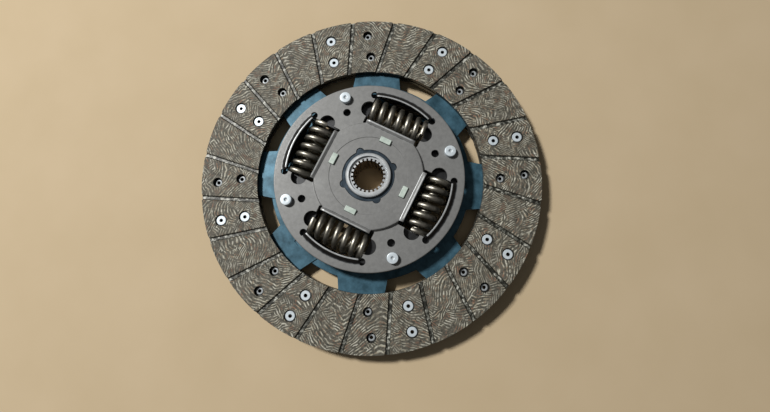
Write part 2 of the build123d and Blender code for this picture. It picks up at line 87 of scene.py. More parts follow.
HUB_R, HUB_LENGTH, SPLINE_MAJOR_R = 15.5, 25.0, 11.9
LUG_CIRCLE_R, LUG_WIDTH, LUG_DEPTH = 26.7, 7.9, 3.7
EAR_WIDTH, EAR_R, EAR_GAP = 5.4, 20.2, 0.2
REAR_FACING_BACK_Z = DRIVE_INNER_Z
FRONT_FACING_BACK_Z = DRIVE_INNER_Z + SEGMENT_THICK + SEGMENT_RISE
WINDOWS = 4  # and as many springs, pins, lugs, ears and tooling holes
ARM_ANGLE = 45  # halfway between two windows
SHANK_ROOM = 0.02  # round a pin or a rivet in its hole in a plate
THROUGH = 60  # longer than anything that a cutter goes through


# ---------------------------------------------------------------- mesh helpers
def turn(angle):
    """A turn about the hub's axis, in degrees."""
    return Matrix.Rotation(radians(angle), 4, "Z")


def shift(x, y, z):
    return Matrix.Translation((x, y, z))


def around(count, first_angle, place=Matrix.Identity(4)):
    """The same place turned about the hub's axis, count times."""
    return [turn(first_angle + 360 / count * i) @ place for i in range(count)]


def lathe(profile, steps=48):
    """A closed solid turned about Z from a closed profile of (radius, height) points."""
    bm = bmesh.new()
    verts = [bm.verts.new((r, 0, z)) for r, z in profile]
    edges = [bm.edges.new(pair) for pair in zip(verts, verts[1:] + verts[:1])]
    bmesh.ops.spin(bm, geom=verts + edges, axis=(0, 0, 1), cent=(0, 0, 0),
                   angle=2 * pi, steps=steps, use_merge=True)
    bmesh.ops.remove_doubles(bm, verts=bm.verts, dist=1e-4)
    bmesh.ops.dissolve_degenerate(bm, dist=1e-5, edges=bm.edges)
    bmesh.ops.recalc_face_normals(bm, faces=bm.faces)
    return bm


def rod(radius, low, high, steps=32):
    bm = bmesh.new()
    bmesh.ops.create_cone(bm, cap_ends=True, segments=steps, radius1=radius, radius2=radius,
                          depth=high - low, matrix=shift(0, 0, (low + high) / 2))
    return bm


def punch(radius, steps=40):
    """A round cutter about Z that is long enough for any hole."""
    return rod(radius, -THROUGH / 2, THROUGH / 2, steps)


def block(low, high):
    bm = bmesh.new()
    centre = (Vector(low) + Vector(high)) / 2
    size = Vector(high) - Vector(low)
    bmesh.ops.create_cube(bm, size=1, matrix=Matrix.Translation(centre) @ Matrix.Diagonal((*size, 1)))
    return bm


def copies(bm, places):
    """A copy of bm at each place, all in one mesh."""
    source = bpy.data.meshes.new("copies")
    bm.to_mesh(source)
    bm.free()
    out = bmesh.new()
    for place in places:
        first = len(out.verts)
        out.from_mesh(source)
        out.verts.ensure_lookup_table()
        bmesh.ops.transform(out, matrix=place, verts=out.verts[first:])
    bpy.data.meshes.remove(source)
    bmesh.ops.recalc_face_normals(out, faces=out.faces)
    return out


def joined(*parts):
    """Several meshes as one."""
    out = bmesh.new()
    for bm in parts:
        mesh = bpy.data.meshes.new("joined")
        bm.to_mesh(mesh)
        bm.free()
        out.from_mesh(mesh)
        bpy.data.meshes.remove(mesh)
    return out


def loose_object(name, bm):
    mesh = bpy.data.meshes.new(name)
    bm.to_mesh(mesh)
    bm.free()
    obj = bpy.data.objects.new(name, mesh)
    bpy.context.scene.collection.objects.link(obj)
    return obj


def cut(bm, tool):
    """bm with the tool taken away."""
    body, cutter = loose_object("cut_body", bm), loose_object("cut_tool", tool)
    change = body.modifiers.new("cut", "BOOLEAN")
    change.operation, change.object, change.solver = "DIFFERENCE", cutter, "EXACT"
    graph = bpy.context.evaluated_depsgraph_get()
    result = bpy.data.meshes.new_from_object(body.evaluated_get(graph))
    out = bmesh.new()
    out.from_mesh(result)
    for obj in (body, cutter):
        mesh = obj.data
        bpy.data.objects.remove(obj)
        bpy.data.meshes.remove(mesh)
    bpy.data.meshes.remove(result)
    return out


def slice_off(bm, point, normal):
    """Takes away what lies beyond a plane and closes the cut."""
    geom = bm.verts[:] + bm.edges[:] + bm.faces[:]
    cut_geom = bmesh.ops.bisect_plane(bm, geom=geom, plane_co=point, plane_no=normal,
                                      clear_outer=True, dist=1e-5)["geom_cut"]
    bmesh.ops.holes_fill(bm, edges=[e for e in cut_geom if isinstance(e, bmesh.types.BMEdge)])


def round_upright_edges(bm, offset, segments):
    """Rounds the edges that stand along Z between two faces that meet at a corner."""
    corners = [e for e in bm.edges if abs(e.verts[0].co.z - e.verts[1].co.z) > 0.5
               and e.calc_face_angle(0) > radians(30)]
    bmesh.ops.bevel(bm, geom=corners, offset=offset, segments=segments, profile=0.5,
                    affect="EDGES", material=-1)


def round_sharp_edges(bm, offset, segments):
    """Rounds every edge where two faces meet at a corner."""
    corners = [e for e in bm.edges if e.is_manifold and e.calc_face_angle(0) > radians(35)]
    bmesh.ops.bevel(bm, geom=corners, offset=offset, segments=segments, profile=0.5,
                    affect="EDGES", clamp_overlap=True, material=-1)


def piece(name, bm, body, finishes, stands_for=(), rounding=0, rounding_steps=2, crease=35):
    """Turns a mesh into a finished piece that rides on a body and takes the place of CAD nodes."""
    bmesh.ops.scale(bm, vec=(MM, MM, MM), verts=bm.verts)
    obj = loose_object(name, bm)
    for finish in finishes:
        obj.data.materials.append(finish)
    obj.data.shade_smooth()
    obj.data.set_sharp_from_angle(angle=radians(crease))
    if rounding:
        soft = obj.modifiers.new("rounding", "BEVEL")
        soft.width, soft.segments = rounding * MM, rounding_steps
        soft.limit_method, soft.angle_limit = "ANGLE", radians(crease)
    even = obj.modifiers.new("even_shading", "WEIGHTED_NORMAL")
    even.keep_sharp = True
    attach(obj, body)
    if stands_for:
        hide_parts(*stands_for)
    return obj


def from_node(name):
    """A merged copy of a CAD node's mesh, in millimetres."""
    bm = bmesh.new()
    bm.from_mesh(nodes[name].data)
    bmesh.ops.scale(bm, vec=(1 / MM,) * 3, verts=bm.verts)
    bmesh.ops.remove_doubles(bm, verts=bm.verts, dist=1e-3)
    bmesh.ops.dissolve_limit(bm, angle_limit=radians(1), verts=bm.verts, edges=bm.edges)
    return bm


# ---------------------------------------------------------------- material helpers
def srgb(code):
    """An sRGB hex colour as linear RGBA."""
    parts = [int(code[i:i + 2], 16) / 255 for i in (1, 3, 5)]
    return (*[c / 12.92 if c <= 0.04045 else ((c + 0.055) / 1.055) ** 2.4 for c in parts], 1)


def feed(made, inputs):
    """Gives a node's inputs, by name or number, a value, a hex colour or another node's output."""
    for key, value in inputs.items():
        named = [s for s in made.inputs if s.name == key and s.enabled]
        socket = named[0] if named else made.inputs[key]
        if isinstance(value, bpy.types.NodeSocket):
            made.id_data.links.new(value, socket)
        else:
            socket.default_value = srgb(value) if isinstance(value, str) else value


def add(tree, kind, inputs, stops=(), **settings):
    """Adds a shader node with its settings, inputs and colour stops, and returns its output."""
    made = tree.nodes.new("ShaderNode" + kind)
    for key, value in settings.items():
        setattr(made, key, value)
    feed(made, inputs)
    if stops:
        elements = made.color_ramp.elements
        while len(elements) < len(stops):
            elements.new(0.5)
        for element, (position, code) in zip(elements, stops):
            element.position, element.color = position, srgb(code)
    return next(s for s in made.outputs if s.enabled)


def new_material(name, shader):
    """A material with its shader's own numbers, and the point on the piece in millimetres."""
    made = bpy.data.materials.new(name)
    made.use_nodes = True
    tree = made.node_tree
    bsdf = tree.nodes["Principled BSDF"]
    feed(bsdf, shader)
    place = add(tree, "TexCoord", {}).node.outputs["Object"]
    where = add(tree, "Mapping", {"Vector": place, "Scale": (1 / MM,) * 3})
    return made, tree, bsdf, where


# ---------------------------------------------------------------- materials
def yarn_strands(tree, where, flat, split):
    """How much yarn shows at a point, from 0 to 1. Four windings lie over each other in patches,
    each a set of lobes round the ring. They are broken where a strand dips, and dim where it lies
    deep. The strands are drawn coarser than real yarn, so that they show."""
    angle = add(tree, "Math", {0: split["Y"], 1: split["X"]}, operation="ARCTAN2")
    radius = add(tree, "VectorMath", {0: flat}, operation="LENGTH")
    sway = add(tree, "TexNoise", {"Vector": flat, "Scale": 1 / 18, "Detail": 1.5})
    wiggle = add(tree, "TexNoise", {"Vector": flat, "Scale": 1 / 4.5, "Detail": 1.0})
    wandering = add(tree, "Math", {0: sway, 1: 9.0, 2: radius}, operation="MULTIPLY_ADD")
    wandering = add(tree, "Math", {0: wiggle, 1: 2.0, 2: wandering}, operation="MULTIPLY_ADD")
    # lobes round the ring, reach of a lobe and spacing of its strands, both in millimetres
    windings = ((7, 20, 2.2), (9, -15, 2.4), (5, 26, 2.1), (11, 11, 2.5))
    strands = None
    for i, (lobes, reach, spacing) in enumerate(windings):
        phase = add(tree, "Math", {0: angle, 1: float(lobes), 2: 1.7 * i}, operation="MULTIPLY_ADD")
        lobe = add(tree, "Math", {0: phase}, operation="SINE")
        across = add(tree, "Math", {0: lobe, 1: float(reach), 2: wandering}, operation="MULTIPLY_ADD")
        across = add(tree, "Math", {0: across, 1: spacing}, operation="DIVIDE")
        middle = add(tree, "Math", {0: across, 1: 0.5}, operation="PINGPONG")
        line = add(tree, "MapRange", {"Value": middle, "From Min": 0.25, "From Max": 0.40})
        if i == 0:
            strands = line
            continue
        patch = add(tree, "Mapping", {"Vector": flat, "Location": (37.0 * i, 11.0 * i, 5.0)})
        patch = add(tree, "TexNoise", {"Vector": patch, "Scale": 1 / 11, "Detail": 1.0})
        laid_over = add(tree, "MapRange", {"Value": patch, "From Min": 0.52, "From Max": 0.55})
        strands = add(tree, "Mix", {"Factor": laid_over, "A": strands, "B": line})
    broken = add(tree, "TexNoise", {"Vector": where, "Scale": 1 / 2.6, "Detail": 2.0})
    broken = add(tree, "MapRange", {"Value": broken, "From Min": 0.36, "From Max": 0.52})
    strands = add(tree, "Math", {0: strands, 1: broken}, operation="MULTIPLY")
    buried = add(tree, "TexNoise", {"Vector": flat, "Scale": 1 / 13, "Detail": 2.0})
    buried = add(tree, "MapRange", {"Value": buried, "From Min": 0.40, "From Max": 0.58,
                                    "To Min": 0.50, "To Max": 1.0})
    return add(tree, "Math", {0: strands, 1: buried}, operation="MULTIPLY")


def ground_face(tree, where, strands):
    """Colour of the ground face: clouded resin with pale grit, and yarn from coppery to pale."""
    clouds = add(tree, "TexNoise", {"Vector": where, "Scale": 1 / 3, "Detail": 6.0, "Roughness": 0.7})
    resin = add(tree, "ValToRGB", {"Fac": clouds},
                stops=[(0.30, "#2F2E29"), (0.48, "#4E4C43"), (0.64, "#6B665C")])
    grit = add(tree, "TexNoise", {"Vector": where, "Scale": 1 / 0.7, "Detail": 3.0})
    grit = add(tree, "MapRange", {"Value": grit, "From Min": 0.60, "From Max": 0.72})
    resin = add(tree, "Mix", {"Factor": grit, "A": resin, "B": "#8B887C"}, data_type="RGBA")
    dyes = add(tree, "TexNoise", {"Vector": where, "Scale": 1 / 4.5, "Detail": 3.0})
    yarn = add(tree, "ValToRGB", {"Fac": dyes},
               stops=[(0.38, "#8C6A56"), (0.45, "#A69A84"), (0.52, "#BFBDAC"), (0.68, "#E0DED1")])
    return add(tree, "Mix", {"Factor": strands, "A": resin, "B": yarn}, data_type="RGBA")


def moulded_skin(tree, where, depth, floor):
    """Colour of the skin in grooves and holes: a mottled grey floor with pale specks that are painted glints,
    and near-black walls, partly a darker skin and partly painted shade.
    """
    # the floor's pale specks are painted glints
    beads = add(tree, "TexNoise", {"Vector": where, "Scale": 1 / 2.2, "Detail": 1.5})
    beads_with_painted_glints = add(tree, "ValToRGB", {"Fac": beads},
                 stops=[(0.40, "#24241F"), (0.50, "#565750"), (0.58, "#7C7D76"), (0.66, "#C6C7BE")])
    # walls near black: painted shade in the grooves and holes, partly a darker edge to the skin
    wall = add(tree, "Math", {0: depth, 1: floor}, operation="SUBTRACT")
    wall = add(tree, "Math", {0: wall}, operation="ABSOLUTE")
    wall = add(tree, "MapRange", {"Value": wall, "From Min": 0.05, "From Max": 0.2, "To Max": 0.9})
    return add(tree, "Mix", {"Factor": wall, "A": beads_with_painted_glints, "B": "#191814"}, data_type="RGBA")


def friction_lining():
    """Moulded organic friction lining. Glass and brass yarn is wound in wandering lobes, set in
    dark resin and ground flat, so the cut strands show as fine pale curved lines with the odd
    coppery one. The moulded skin in the grooves and holes stays smooth, glossier and greener,
    with painted glints on the groove floors and painted shade on the walls."""
    made, tree, bsdf, where = new_material("ground_friction_lining", {})
    flat = add(tree, "VectorMath", {0: where, 1: (1, 1, 0)}, operation="MULTIPLY")
    split = add(tree, "SeparateXYZ", {"Vector": where}).node.outputs
    strands = yarn_strands(tree, where, flat, split)
    # distance from the middle plane between the two facings
    depth = add(tree, "Math", {0: split["Z"], 1: (REAR_FACING_BACK_Z + FRONT_FACING_BACK_Z) / 2},
                operation="SUBTRACT")
    depth = add(tree, "Math", {0: depth}, operation="ABSOLUTE")
    face = SEGMENT_THICK + FACING_THICK
    skin = add(tree, "MapRange", {"Value": depth, "From Min": face - 0.5, "From Max": face - 0.4,
                                  "To Min": 1.0, "To Max": 0.0})
    colour = add(tree, "Mix", {"Factor": skin, "A": ground_face(tree, where, strands),
                               "B": moulded_skin(tree, where, depth, face - GROOVE_DEPTH)},
                 data_type="RGBA")
    rough = add(tree, "MapRange", {"Value": skin, "To Min": 0.70, "To Max": 0.42})
    tooth = add(tree, "TexNoise", {"Vector": where, "Scale": 1 / 0.9, "Detail": 5.0})
    height = add(tree, "Math", {0: strands, 1: 0.5, 2: tooth}, operation="MULTIPLY_ADD")
    dents = add(tree, "Bump", {"Height": height, "Distance": 0.12 * MM, "Strength": 1.0})
    feed(bsdf, {"Base Color": colour, "Roughness": rough, "Normal": dents})
    return made


def sheet_or_wire(name, shader, dark, light, cloud_mm, rough, grain_mm=0.5, grain_depth_mm=0.01):
    """A skin whose colour drifts from dark to light in soft clouds, with an even grain that
    roughens it between the two values of rough. The grain is drawn coarse enough to show."""
    made, tree, bsdf, where = new_material(name, shader)
    clouds = add(tree, "TexNoise", {"Vector": where, "Scale": 1 / cloud_mm, "Detail": 5.0, "Roughness": 0.6})
    colour = add(tree, "ValToRGB", {"Fac": clouds}, stops=[(0.32, dark), (0.66, light)])
    grain = add(tree, "TexNoise", {"Vector": where, "Scale": 1 / grain_mm, "Detail": 4.0})
    gloss = add(tree, "MapRange", {"Value": grain, "From Min": 0.3, "From Max": 0.7,
                                   "To Min": rough[0], "To Max": rough[1]})
    dents = add(tree, "Bump", {"Height": grain, "Distance": grain_depth_mm * MM, "Strength": 1.0})
    feed(bsdf, {"Base Color": colour, "Roughness": gloss, "Normal": dents})
    return made


def turned_steel(name, dark, light, metallic, shaded_beyond, shaded_within):
    """Turned steel: fine rings about the axis, cut by the tool, stretch the highlights. Beyond
    one radius in millimetres it is painted dark grey, as painted shade on the flange between the
    plates, and within another it is oily and painted darker as shade down the bore, except near
    the front end. The rings are drawn coarser than the tool's feed, to show."""
    made, tree, bsdf, where = new_material(name, {"Metallic": metallic})
    split = add(tree, "SeparateXYZ", {"Vector": where}).node.outputs
    flat = add(tree, "VectorMath", {0: where, 1: (1, 1, 0)}, operation="MULTIPLY")
    radius = add(tree, "VectorMath", {0: flat}, operation="LENGTH")
    rings = add(tree, "CombineXYZ", {"X": radius, "Z": split["Z"]})
    marks = add(tree, "TexNoise", {"Vector": rings, "Scale": 1 / 0.35, "Detail": 4.0})
    clouds = add(tree, "TexNoise", {"Vector": where, "Scale": 1 / 6, "Detail": 4.0})
    colour = add(tree, "ValToRGB", {"Fac": clouds}, stops=[(0.35, dark), (0.65, light)])
    # painted shade: dark grey beyond this radius, on the flange that lies between the plates
    scale = add(tree, "MapRange", {"Value": radius, "From Min": shaded_beyond,
                                   "From Max": shaded_beyond + 0.3})
    colour = add(tree, "Mix", {"Factor": scale, "A": colour, "B": "#4A4B4D"}, data_type="RGBA")
    # painted shade down the bore: a darker, warmer grey within this radius, below the front end
    oil = add(tree, "MapRange", {"Value": radius, "From Min": shaded_within, "From Max": shaded_within + 0.1,
                                 "To Min": 1.0, "To Max": 0.0})
    shade_top_z = HUB_LENGTH - 2.0
    below = add(tree, "MapRange", {"Value": split["Z"], "From Min": shade_top_z - 0.4,
                                   "From Max": shade_top_z, "To Min": 1.0, "To Max": 0.0})
    oil = add(tree, "Math", {0: oil, 1: below}, operation="MULTIPLY")
    colour = add(tree, "Mix", {"Factor": oil, "A": colour, "B": "#A09484"}, data_type="RGBA")
    gloss = add(tree, "MapRange", {"Value": marks, "From Min": 0.3, "From Max": 0.7,
                                   "To Min": 0.24, "To Max": 0.42})
    dents = add(tree, "Bump", {"Height": marks, "Distance": 0.035 * MM, "Strength": 1.0})
    feed(bsdf, {"Base Color": colour, "Roughness": gloss, "Normal": dents})
    return made


def drawn_lip():
    """Folded lips, coloured by the way each face points: nearly black where a face leans, for
    burnished steel and as painted shade on the walls, and pale where it points up, a painted
    highlight that runs as a line along each lip."""
    made, tree, bsdf, where = new_material("burnished_lip_painted_highlight", {"Metallic": 0.5})
    normal = add(tree, "TexCoord", {}).node.outputs["Normal"]
    # painted highlight: the colour follows the face's normal, pale where it points up, nearly black elsewhere
    # as painted shade
    painted_highlight_mask = add(tree, "SeparateXYZ", {"Vector": normal}).node.outputs["Z"]
    painted_highlight_mask = add(tree, "Math", {0: painted_highlight_mask}, operation="ABSOLUTE")
    scuffs = add(tree, "TexNoise", {"Vector": where, "Scale": 1 / 2.5, "Detail": 4.0})
    painted_highlight_mask = add(tree, "Math", {0: scuffs, 1: 0.12, 2: painted_highlight_mask}, operation="MULTIPLY_ADD")
    colour = add(tree, "ValToRGB", {"Fac": painted_highlight_mask},
                 stops=[(0.86, "#1B1B1D"), (0.94, "#4C4E50"), (0.99, "#A9ACAE")])
    gloss = add(tree, "MapRange", {"Value": scuffs, "From Min": 0.3, "From Max": 0.7,
                                   "To Min": 0.34, "To Max": 0.50})
    feed(bsdf, {"Base Color": colour, "Roughness": gloss})
    return made


LINING = friction_lining()
# zinc plated rivets and pins: bright and slightly cloudy, so they scatter light like frosted metal
ZINC = sheet_or_wire("bright_zinc_plating", {"Metallic": 0.25}, "#CCDAE4", "#E4EDF4", 1.5, (0.34, 0.50))
# rivets' rolled ends: a duller and greyer white than the heads; on a pin's dimple the same finish is painted
# shade
GREY_END_AND_DIMPLE_SHADE = sheet_or_wire("dull_grey_end_and_dimple_shade", {"Metallic": 0.3}, "#9EA4A8", "#B6BCC0", 1.5, (0.45, 0.6))
# the bore of a tubular rivet: painted nearly black as shade, so it reads as a hole
BORE = sheet_or_wire("rivet_bore_painted_shade", {}, "#131313", "#222221", 1.0, (0.4, 0.6))
# hardened and tempered spring strip: blue oxide, paler where it was rubbed
BLUED = sheet_or_wire("blued_spring_strip", {"Metallic": 0.4}, "#264857", "#4A7286", 7, (0.34, 0.50))
# pressed sheet steel with a grey phosphate skin: even satin with a fine grain
PRESSED = sheet_or_wire("phosphated_pressed_sheet", {"Metallic": 0.25}, "#7B7C7C", "#878888", 2.5,
                        (0.42, 0.60), grain_mm=0.6, grain_depth_mm=0.03)
LIP_PAINTED_HIGHLIGHT = drawn_lip()
# oil tempered spring wire: black in shade, with long pale highlights where the oil film shines
WIRE = sheet_or_wire("oil_tempered_wire", {"Metallic": 1.0}, "#8E8B82", "#BEBAAF", 3, (0.38, 0.48))
# rolled washer steel: dark grey with a soft metallic sheen
WASHER = sheet_or_wire("rolled_washer_steel", {"Metallic": 0.9}, "#55575A", "#7A7D80", 4, (0.34, 0.46))
# glass filled nylon: pale green-white with a satin skin
NYLON = sheet_or_wire("pale_glass_filled_nylon", {"IOR": 1.53}, "#B4C4BC", "#D3E0D8", 3, (0.30, 0.44))
# the hub is bright where it was turned, with painted shade on its flange and down its bore, and the bush
# round it is dark and bluish
HUB_STEEL = turned_steel("turned_hub_steel", "#CBD1D6", "#EAEEF1", 0.85,
                         HUB_R + 1, SPLINE_MAJOR_R)
BUSH_STEEL = turned_steel("turned_bush_steel", "#39434D", "#55626E", 0.9,
                          EAR_R + 1, SPLINE_MAJOR_R)


# ---------------------------------------------------------------- friction facings
PAD_OVERLAP = 0.2  # how deep a pad's foot sits in the ring under it
PAD_CORNER = 1.2
GROOVE_DRAFT = 0.8  # how far a groove's wall leans for each millimetre of its height
# the collar takes the skin's near-black wall colour: painted shade over the segment at the foot of the hole
CLEARANCE_FOOT_R, CLEARANCE_FOOT = 2.8, 0.4  # a thin collar at the foot of a clearance hole
HOLE_ROOM = 0.1  # round a rivet's shank in its facing
ARC_STEPS = 288
ROLL = 2.0  # height of a rivet's rolled end above the segment


def rivet_places(side):
    """Rivet positions in a facing's frame: side is +1 for this facing's own, -1 for the other's."""
    places = []
    for row in RIVET_ROWS:
        along = sqrt(row ** 2 - RIVET_SPREAD ** 2)
        places += around(SEGMENT_COUNT, 0, shift(along, side * RIVET_SPREAD, 0))
    return places


def facing_mesh():
    """A ring with raised pads between skewed grooves, drilled for its own rivets and the other's."""
    floor = FACING_THICK - GROOVE_DEPTH
    ring = lathe([(FACING_INNER_R, 0), (FACING_OUTER_R, 0), (FACING_OUTER_R, floor),
                  (FACING_INNER_R, floor)], ARC_STEPS)
    pad = lathe([(FACING_INNER_R, floor - PAD_OVERLAP), (FACING_OUTER_R, floor - PAD_OVERLAP),
                 (FACING_OUTER_R, FACING_THICK), (FACING_INNER_R, FACING_THICK)], ARC_STEPS)
    pitch = 360 / PAD_COUNT
    for angle, sense in ((GROOVE_PHASE, -1), (GROOVE_PHASE + pitch, 1)):
        edge = GROOVE_OFFSET - sense * GROOVE_WIDTH / 2
        slice_off(pad, turn(angle) @ Vector((0, edge, FACING_THICK)),
                  turn(angle) @ Vector((0, sense, GROOVE_DRAFT)))
    slice_off(pad, (0, 0, 0), turn(GROOVE_PHASE + pitch / 2) @ Vector((-1, 0, 0)))
    round_upright_edges(pad, PAD_CORNER, 4)
    pads = copies(pad, around(PAD_COUNT, 0))
    pocket = rod(POCKET_R, FACING_THICK - POCKET_DEPTH, THROUGH)
    clearance = lathe([(0, -THROUGH), (CLEARANCE_FOOT_R, -THROUGH), (CLEARANCE_FOOT_R, CLEARANCE_FOOT),
                       (CLEARANCE_R, CLEARANCE_FOOT), (CLEARANCE_R, THROUGH), (0, THROUGH)], 40)
    holes = joined(copies(pocket, rivet_places(1)), copies(clearance, rivet_places(-1)))
    shank = rod(RIVET_SHANK_R + HOLE_ROOM, -THROUGH, FACING_THICK - POCKET_DEPTH / 2)
    ring = cut(cut(ring, holes.copy()), copies(shank, rivet_places(1)))
    return joined(ring, cut(pads, holes))


def facing_place(side):
    """From a facing's own frame to the front of the segments, or turned over behind them."""
    if side > 0:
        return shift(0, 0, FRONT_FACING_BACK_Z) @ turn(PADDLE_ANGLE)
    return shift(0, 0, REAR_FACING_BACK_Z) @ turn(PADDLE_ANGLE) @ Matrix.Rotation(pi, 4, "X")


def rivet_mesh():
    """A tubular rivet: flat head, open bore, and an end rolled over behind the segment."""
    base = FACING_THICK - POCKET_DEPTH
    top = base + RIVET_HEAD_THICK
    tail = -SEGMENT_THICK
    end = tail - ROLL
    head, shank, bore = RIVET_HEAD_R, RIVET_SHANK_R, RIVET_BORE_R
    bm = lathe([
        (bore, top - 0.2), (bore + 0.2, top), (head - 0.3, top), (head, top - 0.3), (head, base),
        (shank, base), (shank, tail), (shank + 0.15, tail - 0.1), (shank + 0.35, end + 0.45),
        (shank + 0.15, end + 0.1), (shank - 0.15, end), (bore + 0.35, end),
        (bore + 0.1, end + 0.2), (bore, end + 0.6),
    ], 32)
    # faces in the bore take the near-black finish, painted shade down the bore; the rolled end takes the grey
    # one
    for face in bm.faces:
        middle = face.calc_center_median()
        in_bore = middle.xy.length < bore + 0.15
        face.material_index = 2 if in_bore else 1 if middle.z < tail else 0
    return bm


def make_facings():
    for side, name in ((1, "front"), (-1, "rear")):
        lining = copies(facing_mesh(), [facing_place(side)])
        piece(f"{name}_lining", lining, "disc", [LINING],
              (f"{name}_facing",), rounding=0.2)
        rivets = copies(rivet_mesh(), [facing_place(side) @ p for p in rivet_places(1)])
        piece(f"{name}_lining_rivets", rivets, "disc", [ZINC, GREY_END_AND_DIMPLE_SHADE, BORE],
              (f"{name}_facing_rivets",))


# ---------------------------------------------------------------- pressed plates
WINDOW_CORNER = 1.2
LIP_END_RUN = 1.6  # each lip rises out of the plate over this length
PLATE_EDGE_ROUND = 0.45


def window_tool():
    """The cutter for one spring window: straight inside, an arc outside, rounded corners."""
    tool = punch(WINDOW_OUTER_R, 256)
    half = SPRING_LENGTH / 2
    for point, normal in (((WINDOW_INNER_X, 0, 0), (-1, 0, 0)), ((0, half, 0), (0, 1, 0)),
                          ((0, -half, 0), (0, -1, 0))):
        slice_off(tool, point, normal)
    round_upright_edges(tool, WINDOW_CORNER, 4)
    return tool


def window_end_tools():
    """The notch in a window's end and the relief beyond the outer lip, at both ends."""
    half = SPRING_LENGTH / 2
    notch_y = half + NOTCH_DEPTH - NOTCH_R
    relief_r = WINDOW_OUTER_R + LIP_FOOT - RELIEF_R
    relief_angle = degrees(asin((half + RELIEF_OVERHANG) / relief_r))
    tools = []
    for side in (-1, 1):
        tools.append(copies(punch(NOTCH_R, 64), around(WINDOWS, 0, shift(NOTCH_X, side * notch_y, 0))))
        tools.append(copies(punch(RELIEF_R), around(WINDOWS, side * relief_angle, shift(relief_r, 0, 0))))
    return tools


def taper_ends(bm, distance_from_middle, half_length, run, base):
    """Lowers a lip towards both of its ends, so that it grows out of the plate."""
    for v in bm.verts:
        share = max(0.0, (half_length - distance_from_middle(v.co)) / run)
        if share < 1:
            v.co.z = base + (v.co.z - base) * (0.55 + 0.45 * share * (2 - share))


def inner_lip():
    """The straight lip along the hub side of a window, folded up and out over the spring."""
    foot, edge = WINDOW_INNER_X, WINDOW_INNER_X + INNER_LIP_LEAN
    dome_top, top = DOME_RISE + PLATE_THICK, PLATE_THICK + INNER_LIP_HEIGHT
    section = [
        (foot - LIP_ROOT, DOME_RISE + 0.4), (foot + 0.1, DOME_RISE + 0.4), (foot + 1.5, top - 2.0),
        (edge - 0.1, top - 0.6), (edge, top - 0.25), (edge - 0.3, top), (edge - LIP_EDGE, top - 0.02),
        (edge - LIP_EDGE - 0.5, top - 0.25), (foot + 0.5, dome_top + 0.1), (foot - 0.4, dome_top - 0.1),
        (foot - LIP_ROOT, dome_top - 0.3),
    ]
    half = sqrt(DOME_R ** 2 - WINDOW_INNER_X ** 2) - 0.3
    steps = 24
    bm = bmesh.new()
    face = bm.faces.new([bm.verts.new((x, -half, z)) for x, z in section])
    bmesh.ops.spin(bm, geom=[face], axis=(0, 0, 1), cent=(0, 0, 0), angle=0,
                   dvec=(0, 2 * half / steps, 0), steps=steps)
    bmesh.ops.recalc_face_normals(bm, faces=bm.faces)
    taper_ends(bm, lambda co: abs(co.y), half, LIP_END_RUN, dome_top - 0.5)
    return bm


def outer_lip():
    """The arched lip over the outside of a window, leaning in over the spring."""
    foot, edge, top = WINDOW_OUTER_R, WINDOW_OUTER_R - OUTER_LIP_LEAN, PLATE_THICK + OUTER_LIP_HEIGHT
    heel = foot + LIP_FOOT
    section = [
        (foot, 0.4), (heel - 0.4, 0.4), (heel + 0.15, PLATE_THICK - 0.05), (heel - 0.8, PLATE_THICK + 0.25),
        (heel - 2.0, PLATE_THICK + 1.2), (edge + LIP_EDGE + 0.3, top - 0.4), (edge + LIP_EDGE, top - 0.08),
        (edge + 0.6, top), (edge + 0.15, top - 0.1), (edge, top - 0.4), (foot - 0.6, PLATE_THICK),
    ]
    half = asin(SPRING_LENGTH / 2 / WINDOW_OUTER_R)
    bm = bmesh.new()
    verts = [bm.verts.new((x, 0, z)) for x, z in section]
    face = bm.faces.new(verts)
    bmesh.ops.rotate(bm, cent=(0, 0, 0), matrix=Matrix.Rotation(-half, 3, "Z"), verts=verts)
    bmesh.ops.spin(bm, geom=[face], axis=(0, 0, 1), cent=(0, 0, 0), angle=2 * half, steps=40)
    bmesh.ops.recalc_face_normals(bm, faces=bm.faces)
    reach = half * WINDOW_OUTER_R
    taper_ends(bm, lambda co: Vector((1, 0)).angle(co.xy) * WINDOW_OUTER_R, reach, LIP_END_RUN,
               PLATE_THICK)
    return bm


def lips():
    """The lips of all windows. The outer lips and the inner lips' faces that point up take the
    plate's second finish, the lip finish with its painted highlight."""
    inner, outer = copies(inner_lip(), around(WINDOWS, 0)), copies(outer_lip(), around(WINDOWS, 0))
    # the inner lips' faces that point up take the lip finish, for a painted highlight along their tops
    for face in inner.faces:
        face.material_index = 1 if face.normal.z > 0.95 else 0
    for face in outer.faces:
        face.material_index = 1
    return joined(inner, outer)


